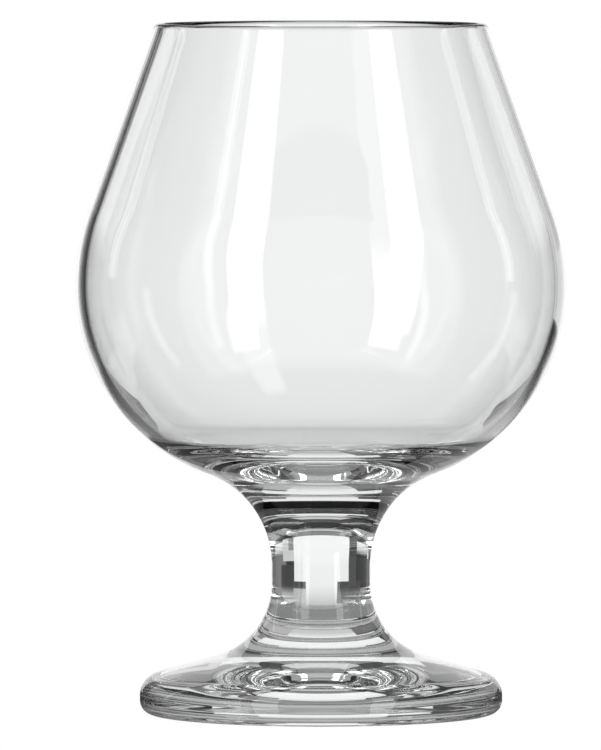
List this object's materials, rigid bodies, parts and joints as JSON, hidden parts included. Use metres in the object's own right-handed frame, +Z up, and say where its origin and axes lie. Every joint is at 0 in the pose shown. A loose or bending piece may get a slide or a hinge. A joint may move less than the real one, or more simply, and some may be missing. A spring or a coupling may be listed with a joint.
{
  "type": "brandy snifter",
  "caption": "Short-footed clear glass brandy snifter: wide rounded bowl drawn in to a narrower mouth, on a waisted solid stem and a round foot.",
  "frame": {"origin": "on the table surface, at the centre of the ring that the foot stands on", "axes": "+Z up along the glass's axis of turning; the glass is round, so +X and +Y are any two square directions across it"},
  "size_m": [0.088, 0.088, 0.124],
  "materials": {
    "clear_glass": "fire-polished, clear and colourless"
  },
  "bodies": {
    "root": {"bowl": "clear_glass", "stem": "clear_glass", "foot": "clear_glass"}
  },
  "joints": []
}
